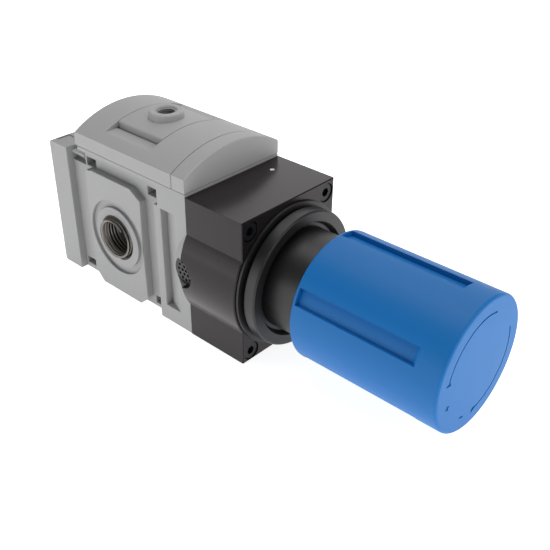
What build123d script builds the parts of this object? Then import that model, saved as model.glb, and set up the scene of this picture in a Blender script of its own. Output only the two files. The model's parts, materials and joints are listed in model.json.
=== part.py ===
"""Modular precision pressure regulator, lying on its back.

Frame, in millimetres: the origin is on the flat back face, under the port axis. +X runs along
the setting axis towards the knob, Y is the flow axis, and +Z points out of the domed front cover.
"""

from math import cos, pi, radians, sin, sqrt
import os

from build123d import *

# ---------------------------------------------------------------- driving dimensions
# module envelope
half_width = 31.0            # side face to the middle plane
axis_height = 37.0           # setting axis above the back face
port_drop = 3.7              # port axis below the setting axis
port_to_end = 50.2           # port axis to the bottom end of the body
port_to_joint = 53.5         # port axis to the body/bonnet joint
cover_seat_rise = 39.2       # setting axis to the seat of the front cover
end_flange_rise = 35.0       # setting axis to the top of the low flange at the bottom end
end_strip = 14.5             # length of the flush strip at the bottom end
cover_offset = 23.5          # bottom end to the start of the front cover
end_corner = 1.5             # rounding of the bottom end

# ports
port_bore_radius = 10.4775   # G1/2 major radius
port_bore_depth = 14.0
port_chamfer = 1.7725
port_land = 6.0225           # bore to the sealing groove
port_groove = 3.7            # width of the sealing groove
port_groove_depth = 1.6
passage_radius = 4.8
gauge_bore_radius = 4.864    # G1/8 major radius
gauge_bore_depth = 8.0

# side recesses of the body, round the port pad
recess_depth = 4.0
recess_drop = 2.2            # seat of the front cover to the top of the recess
pad_margin_left = 1.5        # sealing groove to the pad's edges
pad_margin_right = 0.6
pad_rise = 28.5              # setting axis to the top of the pad
pad_corner = 6.0
rail_length = 4.8
flare_length = 17.5          # cone that grows into the bonnet's bulge
flare_start_radius = 26.0
flare_recess_length = 10.5
flare_recess_lowest = 9.0
flare_recess_height = 54.0

# notch beside the end flange, and the pockets for the module clamps
notch_length = 10.0
notch_depth = 7.0
notch_drop = 11.7            # seat of the front cover to the notch's floor
notch_rib_drop = 7.8
notch_rib_height = 1.4
notch_rib_inset = 3.4
pocket_depth = 5.0
hook_depth = 10.0
hook_wall = 2.2
mark_field_length = 6.8
mark_field_width = 8.0
mark_field_depth = 0.6

# front cover
cover_arch_radius = 58.9     # arch centred on the height of the port axis
cover_wall = 3.0
cover_end_band = 8.7
seam = 0.2
adapter_start = -8.7
adapter_length = 33.0
adapter_half_width = 17.0
adapter_edge = 0.8
gauge_boss_radius = 8.6
gauge_boss_rise = 19.1       # seat of the cover to the top of the gauge boss
finger_recess_reach = 25.2
finger_recess_rise = 9.7     # seat of the cover to the floor of the finger recess
finger_ledge = 3.0

# bonnet, ring and neck
bonnet_length = 35.4
bonnet_rise = 38.0           # setting axis to the top of the bonnet
bulge_radius = 36.5
bonnet_chamfer = 0.4
housing_pocket_radius = 28.0
pilot_pocket_depth = 8.5     # joint to the underside of the bonnet's roof
vent_radius = 7.3
vent_depth = 5.5
insert_thickness = 1.6       # exhaust insert
insert_pitch = 2.4
insert_hole = 0.7
bleed_reach = 8.5            # joint to the bleed hole
bleed_side = 17.5
bleed_radius = 1.1
bleed_depth = 5.0
screw_inset_side = 5.5       # side face to the screws
screw_inset_back = 5.0       # back face to the screws
screw_radius = 2.5
screw_depth = 12.0
screw_head_radius = 4.25
screw_head_height = 5.0
screw_key = 2.3              # corner radius of the key socket
counterbore_radius = 4.7
counterbore_depth = 5.6
neck_radius = 25.0
neck_step = 3.0              # neck to its smaller end
neck_length = 62.1
neck_step_length = 10.0
neck_end_wall = 4.0
neck_spigot_radius = 20.0
neck_spigot_length = 13.0
ring_stand = 9.1             # bonnet to the front of the clamp ring
ring_thickness = 6.4
ring_wall = 5.3              # dish to the outside of the clamp ring
ring_edge = 0.7
ring_dish = 3.3              # neck to the edge of the dish
ring_dish_depth = 3.2
ring_dish_slope = 1.4
ring_groove = 3.1
disc_margin = 1.9            # disc outside the clamp ring
disc_thickness = 1.4

# knob and its lock
knob_gap = 27.4              # bonnet to the open end of the knob
knob_length = 74.4
knob_room = 2.5              # neck to the knob's bore
knob_wall = 3.5
knob_end_wall = 3.4
knob_edge = 1.8
knob_back_chamfer = 0.8
hub_sink = 14.7              # knob's front face to the hub's front face
flute_count = 5
flute_width = 15.0           # degrees
flute_depth = 2.2
flute_first = 64.0           # degrees from +Z towards -Y
flute_margin_back = 1.7
flute_margin_front = 12.3
lock_travel = 4.0
lock_teeth = 36
tooth_width = 4.0            # degrees
tooth_height = 2.2
lock_ring_wall = 2.0
lock_ring_length = 5.0
lock_overlap = 0.2
hub_radius = 12.0
hub_skirt_wall = 1.5
hub_tooth_root = 0.6
hub_root_clearance = 0.6
hub_web = 4.0
knob_screw_radius = 2.0
knob_screw_head_radius = 3.5
knob_screw_head = 3.4
knob_washer_radius = 8.5
knob_washer_thickness = 1.2

# setting gear
spindle_radius = 5.0
spindle_shank_radius = 6.0
spindle_flats = 5.15         # half the width across the hexagon's flats
running_clearance = 0.05
fit_clearance = 0.1
detent_depth = 0.95
detent_width = 1.2
detent_cord = 0.45
setting_travel = 11.5
spring_wire = 3.2
spring_coil_radius = 11.5
spring_pitch = 7.4
spring_room = 2.9            # coils to the spring bore
spring_seat_thickness = 2.7
nut_set_back = 39.0          # end of the neck to the seat of the nut's flange
nut_flange = 4.0
nut_shank = 8.0
key_half_width = 2.5
key_clearance = 0.2
key_reach = 1.5
collar_radius = 10.0
collar_length = 4.0
washer_thickness = 1.15

# main valve
seat_ledge = -2.0            # port axis to the ledge that the seat rests on
seat_flange_thickness = 2.0
seat_lip_wall = 1.6           # wall of the seat's lip round its bore
poppet_lip_height = 0.6
stem_top_gap = 0.8            # diaphragm plate to the end of the stem
spring_guide_gap = 0.5
spring_guide_play = 1.6       # bore of the setting spring to the ring that its foot rests in
nut_flange_play = 1.4
hex_clear = 0.5               # hub clears the spindle's shank when the knob is pushed down
collar_play = 0.5
screw_play = 0.25
cover_back_round = 1.2
cover_front_round = 0.8
plug_round = 0.8
neck_round = 0.8
gauge_chamfer = 0.8
gauge_seal_radius = 3.5
gauge_seal_cord = 0.8
mark_field_end_margin = 1.6
mark_field_side_margin = 3.5
inlet_passage_gap = 5.5
outlet_passage_gap = 8.8
gauge_passage_gap = 7.7
seal_squeeze = 0.49           # share of the groove's depth that the seal ring's radius fills
seat_lip = 2.6
seat_bore_radius = 7.5
seat_skirt = 8.0
poppet_seal_margin = 2.3
poppet_rim = 1.0
poppet_seal_thickness = 2.4
poppet_length = 7.0
poppet_spring_radius = 6.2
poppet_spring_wire = 1.3
poppet_spring_pitch = 3.4
plug_reach = 21.2            # bottom end to the inner face of the plug
plug_flange_radius = 19.8
plug_flange_sink = 0.6
plug_flange_depth = 4.2
plug_key = 6.9               # corner radius of the plug's key socket
plug_key_depth = 6.0
plug_guide_depth = 9.0
plug_groove_place = 14.2     # bottom end to the plug's seal groove
plug_groove_width = 2.4
plug_groove_depth = 2.0
guide_radius = 4.0
guide_engagement = 4.0
stem_radius = 2.5
guide_length = 18.0
guide_flange = 2.0
guide_flange_radius = 9.0
stem_seal_radius = 4.2
guide_bore_radius = 6.0
guide_set_back = 24.0        # diaphragm chamber to the start of the guide's bore
lower_chamber_radius = 15.0
upper_bore_radius = 13.0
diaphragm_thickness = 1.2
diaphragm_sink = 3.2         # joint to the main diaphragm's seat
diaphragm_chamber_depth = 6.3
diaphragm_chamber_radius = 25.0
plate_thickness = 2.0
lower_plate_radius = 20.0
upper_plate_radius = 19.0
nut_corner_radius = 4.6
nut_thickness = 2.0
joint_seal_inner = 28.8
joint_seal_outer = 30.4
joint_seal_thickness = 1.3

# pilot stage
pilot_travel = 0.45
pilot_diaphragm_thickness = 0.8
pilot_diaphragm_radius = 20.0
pilot_chamber_radius = 16.0
pilot_chamber_depth = 3.0
pilot_floor = 4.9            # main diaphragm to the pilot housing's floor
pilot_lower_radius = 22.0
nozzle_radius = 3.0
nozzle_tip_radius = 1.4
nozzle_hole = 0.6
flapper_radius = 9.0
flapper_thickness = 1.0
stop_clearance = 0.05

# ---------------------------------------------------------------- derived stations
bottom_end = -port_to_end
joint = port_to_joint
port_height = axis_height - port_drop
body_top_height = axis_height + cover_seat_rise
end_flange_height = axis_height + end_flange_rise
recess_top = body_top_height - recess_drop
bonnet_height = axis_height + bonnet_rise
port_chamfer_radius = port_bore_radius + port_chamfer
port_land_radius = port_bore_radius + port_land
port_groove_radius = port_land_radius + port_groove
pad_left = port_groove_radius + pad_margin_left
pad_right = port_groove_radius + pad_margin_right
pad_top = axis_height + pad_rise
flare_start = joint - flare_length
rail_end = flare_start - seam
rail_start = rail_end - rail_length
cover_start = bottom_end + cover_offset
finger_recess_floor = body_top_height + finger_recess_rise
gauge_boss_height = body_top_height + gauge_boss_rise
bonnet_front = joint + bonnet_length
pocket_roof = joint + pilot_pocket_depth     # top of the pilot housing, underside of the bonnet
spigot_start = bonnet_front - neck_spigot_length
spring_bore_radius = spring_coil_radius + spring_wire / 2 + spring_room
spring_foot = pocket_roof + spring_seat_thickness
neck_end = bonnet_front + neck_length
neck_end_radius = neck_radius - neck_step
nut_flange_seat = neck_end - nut_set_back
ring_front = bonnet_front + ring_stand
ring_back = ring_front - ring_thickness
ring_dish_radius = neck_radius + ring_dish
ring_radius = ring_dish_radius + ring_wall
disc_radius = ring_radius + disc_margin
knob_back = bonnet_front + knob_gap
knob_front = knob_back + knob_length
knob_bore_radius = neck_radius + knob_room
knob_radius = knob_bore_radius + knob_wall
flute_start = knob_back + flute_margin_back
flute_end = knob_front - flute_margin_front
hub_front = knob_front - hub_sink
diaphragm_seat = joint - diaphragm_sink
diaphragm_chamber_start = diaphragm_seat - diaphragm_chamber_depth
guide_start = diaphragm_chamber_start - guide_set_back
inlet_passage_x = seat_ledge - inlet_passage_gap
outlet_passage_x = guide_start - outlet_passage_gap
gauge_passage_x = guide_start - gauge_passage_gap
plug_inner = bottom_end + plug_reach
setting_axis = Axis((0, 0, axis_height), (1, 0, 0))
section = Plane(origin=(0, 0, axis_height), x_dir=(1, 0, 0), z_dir=(0, -1, 0))
MIDDLE_MIN = (Align.CENTER, Align.CENTER, Align.MIN)


def across(x):
    """Plane square to the setting axis at x: its own axes are Y and height above the setting axis."""
    return Plane(origin=(x, 0, axis_height), x_dir=(0, 1, 0), z_dir=(1, 0, 0))


def bar(start, end, radius, mode=Mode.ADD):
    """A round bar, or with SUBTRACT a bore, on the setting axis from start to end."""
    with Locations(across(start)):
        Cylinder(radius, end - start, align=MIDDLE_MIN, mode=mode)


def side_bar(x, z, reach_from, reach_to, radius, side, mode=Mode.SUBTRACT):
    """A round bar along Y on one side of the middle plane, from one distance to a larger one."""
    with Locations(Plane(origin=(x, side * reach_from, z), x_dir=(1, 0, 0), z_dir=(0, side, 0))):
        Cylinder(radius, reach_to - reach_from, align=MIDDLE_MIN, mode=mode)


def block(x0, x1, y0, y1, z0, z1, mode=Mode.ADD):
    """An upright block between two corners."""
    with Locations((x0, y0, z0)):
        Box(x1 - x0, y1 - y0, z1 - z0, align=(Align.MIN, Align.MIN, Align.MIN), mode=mode)


def seal_ring(x, ring_radius_mid, cord_radius):
    """An O-ring on the setting axis."""
    with Locations(across(x)):
        Torus(ring_radius_mid, cord_radius)


pieces = {}


def finish(name, builder):
    """Label a finished piece and keep it for export."""
    builder.part.label = name
    pieces[name] = builder.part


# ---------------------------------------------------------------- body casting
side_plane = Plane(origin=(0, -half_width, 0), x_dir=(1, 0, 0), z_dir=(0, -1, 0))
screw_y = half_width - screw_inset_side
screw_z = axis_height - screw_inset_back
mark_field_start = bottom_end + mark_field_end_margin
mark_field_side = -half_width + mark_field_side_margin
gauge_passage_radius = 2.0
screw_places = [(sy * screw_y, sz * screw_z) for sy in (-1, 1) for sz in (-1, 1)]
side_pockets = [
    # start, length, lowest, height
    (-pad_left - 2.7, 7.4, recess_top - 9.0, 4.4),
    (rail_start - 8.4, 7.2, recess_top - 9.4, 4.2),
    (bottom_end + end_strip + 1.1, 7.0, 3.0, 3.6),
    (rail_start - 8.4, 4.6, 2.4, 4.2),
]

with BuildPart() as valve_body:
    # side view of the casting, through its whole width
    with BuildSketch(side_plane):
        with BuildLine():
            Polyline(
                (bottom_end, 0),
                (joint, 0),
                (joint, body_top_height),
                (cover_start, body_top_height),
                (cover_start, end_flange_height),
                (bottom_end, end_flange_height),
                close=True,
            )
        make_face()
    extrude(amount=-2 * half_width)
    fillet(valve_body.edges().filter_by(Axis.Y).group_by(Axis.X)[0], end_corner)
    # recess round the port pad, on both sides
    with BuildSketch(side_plane):
        with Locations((bottom_end + end_strip, 0)):
            Rectangle(
                rail_start - bottom_end - end_strip,
                recess_top,
                align=(Align.MIN, Align.MIN),
            )
        with BuildLine():
            Polyline(
                (-pad_left, pad_corner),
                (-pad_left + pad_corner, 0),
                (pad_right - pad_corner, 0),
                (pad_right, pad_corner),
                (pad_right, pad_top - 0.75 * pad_corner),
                (pad_right - 1.2 * pad_corner, pad_top),
                (-pad_left + 0.4 * pad_corner, pad_top),
                (-pad_left, pad_top - 0.4 * pad_corner),
                close=True,
            )
        make_face(mode=Mode.SUBTRACT)
    side_recess = extrude(amount=-recess_depth, mode=Mode.SUBTRACT)
    mirror(side_recess, about=Plane.XZ, mode=Mode.SUBTRACT)
    # sloped recess between the rail and the flare, on both sides
    with BuildSketch(Plane.XY.offset(flare_recess_lowest)):
        with BuildLine():
            Polyline(
                (rail_end, -half_width),
                (rail_end, -half_width + recess_depth),
                (rail_end + flare_recess_length, -half_width),
                close=True,
            )
        make_face()
        mirror(about=Plane.XZ)
    extrude(amount=flare_recess_height, mode=Mode.SUBTRACT)
    # notches in the corner beside the end flange, and the pockets for the module clamps
    notch_start = bottom_end + end_strip
    notch_end = notch_start + notch_length
    rib_floor = body_top_height - notch_rib_drop
    for side in (-1, 1):
        y_out = side * half_width
        y_notch = side * (half_width - notch_depth)
        y_low, y_high = sorted((y_out, y_notch))
        block(notch_start, notch_end, y_low, y_high, body_top_height - notch_drop, body_top_height,
              Mode.SUBTRACT)
        y_low, y_high = sorted((side * (half_width - notch_rib_inset), y_notch))
        block(notch_start, notch_end, y_low, y_high, rib_floor, rib_floor + notch_rib_height)
        y_low, y_high = sorted((y_out, side * (half_width - recess_depth - pocket_depth)))
        for start, length, lowest, height in side_pockets:
            block(start, start + length, y_low, y_high, lowest, lowest + height, Mode.SUBTRACT)
        # hook at the top of the rail
        y_low, y_high = sorted((y_out, side * (half_width - recess_depth)))
        block(rail_start, rail_end - hook_wall, y_low, y_high, recess_top - hook_depth, recess_top,
              Mode.SUBTRACT)
    # cone that grows out of the recess and meets the bonnet's bulge
    with BuildSketch(section):
        with BuildLine():
            Polyline(
                (flare_start, 0),
                (flare_start, flare_start_radius),
                (joint, bulge_radius),
                (joint, 0),
                close=True,
            )
        make_face()
    revolve(axis=setting_axis)
    # ports: chamfer, bore, sealing groove and the way into the valve chambers
    for side in (-1, 1):
        with Locations(Plane(origin=(0, side * half_width, port_height), z_dir=(0, -side, 0))):
            Cone(
                port_chamfer_radius,
                port_bore_radius,
                port_chamfer_radius - port_bore_radius,
                align=MIDDLE_MIN,
                mode=Mode.SUBTRACT,
            )
        side_bar(0, port_height, half_width - port_bore_depth, half_width, port_bore_radius, side)
        groove_plane = Plane(origin=(0, side * half_width, port_height), z_dir=(0, -side, 0))
        with BuildSketch(groove_plane):
            Circle(port_groove_radius)
            Circle(port_land_radius, mode=Mode.SUBTRACT)
        extrude(amount=port_groove_depth, mode=Mode.SUBTRACT)
        passage_x = inlet_passage_x if side < 0 else outlet_passage_x
        passage_end = half_width - port_bore_depth + 1
        side_bar(passage_x, port_height, guide_bore_radius, passage_end, passage_radius, side)
    # valve chambers on the setting axis
    bar(bottom_end, bottom_end + plug_flange_depth, plug_flange_radius + seam, Mode.SUBTRACT)
    bar(bottom_end, seat_ledge, lower_chamber_radius, Mode.SUBTRACT)
    bar(seat_ledge, guide_start, upper_bore_radius, Mode.SUBTRACT)
    bar(guide_start, diaphragm_chamber_start, guide_bore_radius, Mode.SUBTRACT)
    bar(diaphragm_chamber_start, joint, diaphragm_chamber_radius, Mode.SUBTRACT)
    bar(diaphragm_seat, joint, housing_pocket_radius, Mode.SUBTRACT)
    # groove for the joint seal
    with BuildSketch(across(joint - joint_seal_thickness)):
        Circle(joint_seal_outer)
        Circle(joint_seal_inner, mode=Mode.SUBTRACT)
    extrude(amount=joint_seal_thickness, mode=Mode.SUBTRACT)
    # threaded holes for the bonnet screws
    with BuildSketch(across(joint - screw_depth)):
        with Locations(*screw_places):
            Circle(screw_radius)
    extrude(amount=screw_depth, mode=Mode.SUBTRACT)
    # half of each vent hole
    for side in (-1, 1):
        side_bar(joint, axis_height, bulge_radius - vent_depth, bulge_radius + 2, vent_radius, side)
    # gauge passage from the outlet chamber to the cover side
    with Locations((gauge_passage_x, 0, axis_height)):
        Cylinder(gauge_passage_radius, body_top_height - axis_height, align=MIDDLE_MIN, mode=Mode.SUBTRACT)
    # recessed mark field on the end flange
    block(mark_field_start, mark_field_start + mark_field_length,
          mark_field_side, mark_field_side + mark_field_width,
          end_flange_height - mark_field_depth, end_flange_height, Mode.SUBTRACT)
finish("valve_body", valve_body)

# ---------------------------------------------------------------- front cover and gauge adapter
cover_plane = Plane(origin=(cover_start, 0, port_height), x_dir=(0, 1, 0), z_dir=(1, 0, 0))
cover_floor = body_top_height - port_height      # in the sketch plane above the arch centre
adapter_end = adapter_start + adapter_length
adapter_middle = adapter_start + adapter_length / 2
finger_rim = port_height + sqrt(cover_arch_radius**2 - finger_recess_reach**2)
finger_slope = finger_rim - finger_recess_floor
inside_adapter = adapter_half_width - finger_ledge
band_start = joint - cover_end_band


def arch(radius, half, lowest):
    """Area under the arch, between two upright sides and a flat floor."""
    shoulder = sqrt(radius**2 - half**2)
    with BuildSketch(Plane.XY, mode=Mode.PRIVATE) as face:
        with BuildLine():
            Polyline((half, shoulder), (half, lowest), (-half, lowest), (-half, shoulder))
            ThreePointArc((-half, shoulder), (0, radius), (half, shoulder))
        make_face()
    return face.sketch


with BuildPart() as front_cover:
    with BuildSketch(cover_plane):
        add(arch(cover_arch_radius, half_width, cover_floor))
    extrude(amount=band_start - seam - cover_start)
    fillet(front_cover.faces().sort_by(Axis.X)[0].edges().sort_by(Axis.Z)[-1], cover_back_round)
    # hollow underneath, open towards the end band
    with BuildSketch(cover_plane.offset(cover_wall)):
        add(arch(cover_arch_radius - cover_wall, half_width - cover_wall, cover_floor))
    extrude(amount=band_start - cover_start, mode=Mode.SUBTRACT)
    # floor of the two finger recesses
    for side in (-1, 1):
        y_low, y_high = sorted((side * (adapter_half_width - finger_ledge),
                                side * (finger_recess_reach + finger_ledge)))
        block(adapter_start, adapter_end, y_low, y_high, finger_recess_floor - cover_wall,
              finger_recess_floor + finger_slope)
    for side in (-1, 1):
        with BuildSketch(Plane.YZ.offset(adapter_start)):
            with BuildLine():
                Polyline(
                    (side * (finger_recess_reach + finger_ledge), finger_rim + finger_slope),
                    (side * finger_recess_reach, finger_rim),
                    (side * inside_adapter, finger_recess_floor),
                    (side * inside_adapter, gauge_boss_height),
                    (side * (finger_recess_reach + finger_ledge), gauge_boss_height),
                    close=True,
                )
            make_face()
        extrude(amount=adapter_length, mode=Mode.SUBTRACT)
    # the floors end where they meet the arch
    with BuildSketch(cover_plane):
        add(arch(cover_arch_radius, half_width, cover_floor))
    extrude(amount=band_start - seam - cover_start, mode=Mode.INTERSECT)
    # opening for the adapter
    block(adapter_start, adapter_end, -adapter_half_width, adapter_half_width,
          body_top_height, gauge_boss_height, Mode.SUBTRACT)
finish("front_cover", front_cover)

with BuildPart() as cover_end_piece:
    with BuildSketch(Plane(origin=(band_start, 0, port_height), x_dir=(0, 1, 0), z_dir=(1, 0, 0))):
        add(arch(cover_arch_radius, half_width, cover_floor))
    extrude(amount=cover_end_band - seam)
    fillet(cover_end_piece.faces().sort_by(Axis.X)[-1].edges().sort_by(Axis.Z)[-1], cover_front_round)
    with BuildSketch(Plane(origin=(band_start, 0, port_height), x_dir=(0, 1, 0), z_dir=(1, 0, 0))):
        add(arch(cover_arch_radius - cover_wall, half_width - cover_wall, cover_floor))
    extrude(amount=cover_end_band - seam - cover_wall, mode=Mode.SUBTRACT)
finish("cover_end_band", cover_end_piece)

with BuildPart() as gauge_adapter:
    adapter_plane = Plane(
        origin=(adapter_start + seam, 0, port_height), x_dir=(0, 1, 0), z_dir=(1, 0, 0)
    )
    with BuildSketch(adapter_plane):
        add(arch(cover_arch_radius, adapter_half_width - seam, cover_floor))
    extrude(amount=adapter_length - 2 * seam)
    fillet(gauge_adapter.edges().filter_by(Axis.X).group_by(Axis.Z)[-1], adapter_edge)
    # raised boss round the gauge port
    with Locations((adapter_middle, 0, body_top_height + adapter_edge)):
        Cylinder(gauge_boss_radius, gauge_boss_rise - adapter_edge, align=MIDDLE_MIN)
    fillet(gauge_adapter.faces().sort_by(Axis.Z)[-1].edges(), adapter_edge)
    with Locations((adapter_middle, 0, gauge_boss_height)):
        Cylinder(gauge_bore_radius, gauge_bore_depth, align=(Align.CENTER, Align.CENTER, Align.MAX),
                 mode=Mode.SUBTRACT)
        Cone(gauge_bore_radius, gauge_bore_radius + gauge_chamfer, gauge_chamfer,
             align=(Align.CENTER, Align.CENTER, Align.MAX), mode=Mode.SUBTRACT)
    # passage down to the body, with a seat for its seal
    with Locations((gauge_passage_x, 0, body_top_height)):
        Cylinder(gauge_passage_radius, gauge_boss_rise - gauge_bore_depth + 2.5,
                 align=MIDDLE_MIN, mode=Mode.SUBTRACT)
        Cylinder(gauge_seal_radius + gauge_seal_cord + fit_clearance,
                 2 * gauge_seal_cord, align=MIDDLE_MIN, mode=Mode.SUBTRACT)
finish("gauge_adapter_plate", gauge_adapter)

with BuildPart() as gauge_seal:
    with Locations((gauge_passage_x, 0, body_top_height + gauge_seal_cord)):
        Torus(gauge_seal_radius, gauge_seal_cord)
finish("gauge_adapter_seal", gauge_seal)

# ---------------------------------------------------------------- bottom plug and its parts
with BuildPart() as bottom_plug:
    bar(bottom_end + plug_flange_sink, bottom_end + plug_flange_depth, plug_flange_radius)
    bar(bottom_end + plug_flange_depth, plug_inner, lower_chamber_radius - fit_clearance)
    fillet(bottom_plug.faces().sort_by(Axis.X)[0].edges(), plug_round)
    # hexagon socket for the key
    with BuildSketch(across(bottom_end + plug_flange_sink)):
        RegularPolygon(plug_key, 6)
    extrude(amount=plug_key_depth, mode=Mode.SUBTRACT)
    bar(plug_inner - plug_guide_depth, plug_inner, guide_radius + running_clearance, Mode.SUBTRACT)
    # groove for the plug's seal
    with BuildSketch(across(bottom_end + plug_groove_place)):
        Circle(lower_chamber_radius)
        Circle(lower_chamber_radius - plug_groove_depth, mode=Mode.SUBTRACT)
    extrude(amount=plug_groove_width, mode=Mode.SUBTRACT)
finish("bottom_plug", bottom_plug)

with BuildPart() as plug_seal:
    seal_ring(bottom_end + plug_groove_place + plug_groove_width / 2,
              lower_chamber_radius - plug_groove_depth / 2, seal_squeeze * plug_groove_depth)
finish("plug_seal", plug_seal)

# ---------------------------------------------------------------- main valve
seat_face = seat_ledge - seat_lip
seat_flange = seat_ledge - seat_flange_thickness
with BuildPart() as valve_seat:
    with BuildSketch(section):
        with BuildLine():
            Polyline(
                (seat_face, seat_bore_radius),
                (seat_face, seat_bore_radius + 1),
                (seat_flange, seat_bore_radius + seat_lip_wall),
                (seat_flange, lower_chamber_radius - fit_clearance),
                (seat_ledge, lower_chamber_radius - fit_clearance),
                (seat_ledge, upper_bore_radius),
                (seat_ledge + seat_skirt, upper_bore_radius),
                (seat_ledge + seat_skirt, seat_bore_radius),
                close=True,
            )
        make_face()
    revolve(axis=setting_axis)
finish("valve_seat", valve_seat)

poppet_face = seat_face - stop_clearance
seal_back = poppet_face - poppet_seal_thickness
poppet_seal_radius = seat_bore_radius + poppet_seal_margin
poppet_radius = poppet_seal_radius + poppet_rim
with BuildPart() as poppet_seal:
    bar(seal_back, poppet_face, poppet_seal_radius)
    bar(seal_back, poppet_face, stem_radius, Mode.SUBTRACT)
finish("poppet_seal", poppet_seal)

poppet_back = poppet_face - poppet_length
poppet_tail = plug_inner - guide_engagement
poppet_lip = poppet_face - poppet_lip_height
with BuildPart() as poppet:
    with BuildSketch(section):
        with BuildLine():
            Polyline(
                (poppet_tail, 0),
                (poppet_tail, guide_radius),
                (poppet_back, guide_radius),
                (poppet_back, poppet_radius),
                (poppet_lip, poppet_radius),
                (poppet_lip, poppet_seal_radius),
                (seal_back, poppet_seal_radius),
                (seal_back, 0),
                close=True,
            )
        make_face()
    revolve(axis=setting_axis)
finish("valve_poppet", poppet)


def coil_spring(start, end, coil_radius, wire, pitch):
    """A wire spring with ground ends, on the setting axis between two flat seats."""
    with BuildPart(mode=Mode.PRIVATE) as spring:
        with BuildLine():
            run = Helix(pitch, end - start + wire, coil_radius,
                        center=(start - wire / 2, 0, axis_height), direction=(1, 0, 0))
        with BuildSketch(Plane(origin=run @ 0, z_dir=run % 0)):
            Circle(wire / 2)
        sweep(is_frenet=True)
        split(bisect_by=across(start), keep=Keep.TOP)
        split(bisect_by=across(end), keep=Keep.BOTTOM)
    return spring.part


with BuildPart() as poppet_spring:
    add(coil_spring(plug_inner, poppet_back, poppet_spring_radius, poppet_spring_wire,
                    poppet_spring_pitch))
finish("poppet_spring", poppet_spring)

stem_top = diaphragm_seat - plate_thickness - stem_top_gap
with BuildPart() as valve_stem:
    bar(seal_back, stem_top, stem_radius)
finish("valve_stem", valve_stem)

with BuildPart() as stem_guide:
    guide_front = guide_start - guide_flange
    guide_end = guide_start + guide_length
    bar(guide_start, guide_end, guide_bore_radius)
    bar(guide_front, guide_start, guide_flange_radius)
    bar(guide_front, guide_end, stem_radius + running_clearance, Mode.SUBTRACT)
    bar(guide_front, guide_start, stem_seal_radius, Mode.SUBTRACT)
finish("stem_guide", stem_guide)

with BuildPart() as stem_seal:
    bar(guide_front + seam, guide_start, stem_seal_radius)
    bar(guide_front + seam, guide_start, stem_radius + running_clearance, Mode.SUBTRACT)
finish("stem_seal", stem_seal)

# ---------------------------------------------------------------- main diaphragm
diaphragm_top = diaphragm_seat + diaphragm_thickness
with BuildPart() as main_diaphragm:
    bar(diaphragm_seat, diaphragm_top, housing_pocket_radius)
    bar(diaphragm_seat, diaphragm_top, stem_radius, Mode.SUBTRACT)
finish("main_diaphragm", main_diaphragm)

with BuildPart() as lower_plate:
    bar(diaphragm_seat - plate_thickness, diaphragm_seat, lower_plate_radius)
    bar(stem_top, diaphragm_seat - plate_thickness, guide_bore_radius)
    bar(diaphragm_seat, diaphragm_top + plate_thickness + nut_thickness + seam, stem_radius)
finish("diaphragm_plate_lower", lower_plate)

with BuildPart() as upper_plate:
    bar(diaphragm_top, diaphragm_top + plate_thickness, upper_plate_radius)
    bar(diaphragm_top, diaphragm_top + plate_thickness, stem_radius, Mode.SUBTRACT)
finish("diaphragm_plate_upper", upper_plate)

with BuildPart() as diaphragm_nut:
    nut_start = diaphragm_top + plate_thickness
    with BuildSketch(across(nut_start)):
        RegularPolygon(nut_corner_radius, 6)
        Circle(stem_radius, mode=Mode.SUBTRACT)
    extrude(amount=nut_thickness)
finish("diaphragm_nut", diaphragm_nut)

with BuildPart() as joint_seal:
    bar(joint - joint_seal_thickness, joint, joint_seal_outer)
    bar(joint - joint_seal_thickness, joint, joint_seal_inner, Mode.SUBTRACT)
finish("joint_seal", joint_seal)

# ---------------------------------------------------------------- pilot stage
pilot_seat = pocket_roof - pilot_diaphragm_thickness
nozzle_back = diaphragm_top + pilot_floor
nozzle_shoulder = pilot_seat - pilot_chamber_depth
with BuildPart() as pilot_housing:
    bar(diaphragm_top, pocket_roof, housing_pocket_radius)
    bar(diaphragm_top, nozzle_back, pilot_lower_radius, Mode.SUBTRACT)
    bar(pilot_seat, pocket_roof, pilot_diaphragm_radius, Mode.SUBTRACT)
    bar(nozzle_shoulder, pilot_seat, pilot_chamber_radius, Mode.SUBTRACT)
    bar(diaphragm_top, pocket_roof, nozzle_radius, Mode.SUBTRACT)
finish("pilot_housing", pilot_housing)

nozzle_tip = pilot_seat - flapper_thickness - pilot_travel - stop_clearance
with BuildPart() as pilot_nozzle:
    bar(nozzle_back, nozzle_shoulder, nozzle_radius)
    with Locations(across(nozzle_shoulder)):
        Cone(nozzle_radius, nozzle_tip_radius, nozzle_tip - nozzle_shoulder, align=MIDDLE_MIN)
    bar(nozzle_back, nozzle_tip, nozzle_hole, Mode.SUBTRACT)
finish("pilot_nozzle", pilot_nozzle)

with BuildPart() as pilot_diaphragm:
    bar(pilot_seat, pocket_roof, pilot_diaphragm_radius)
    bar(pilot_seat, pocket_roof, stem_radius, Mode.SUBTRACT)
finish("pilot_diaphragm", pilot_diaphragm)

with BuildPart() as pilot_flapper:
    bar(pilot_seat - flapper_thickness, pilot_seat, flapper_radius)
    bar(pilot_seat, spring_foot + nut_thickness + 2 * seam, stem_radius)
finish("pilot_flapper", pilot_flapper)

spring_guide_radius = spring_coil_radius - spring_wire / 2 - spring_guide_gap
with BuildPart() as lower_spring_seat:
    bar(pocket_roof, spring_foot, spring_bore_radius - spring_guide_play)
    bar(spring_foot, spring_foot + spring_wire, spring_guide_radius)
    bar(spring_foot, spring_foot + spring_wire, nut_corner_radius + 1, Mode.SUBTRACT)
    bar(pocket_roof, spring_foot, stem_radius, Mode.SUBTRACT)
finish("lower_spring_seat", lower_spring_seat)

with BuildPart() as pilot_nut:
    with BuildSketch(across(spring_foot)):
        RegularPolygon(nut_corner_radius, 6)
        Circle(stem_radius, mode=Mode.SUBTRACT)
    extrude(amount=nut_thickness + seam)
finish("pilot_nut", pilot_nut)

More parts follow.
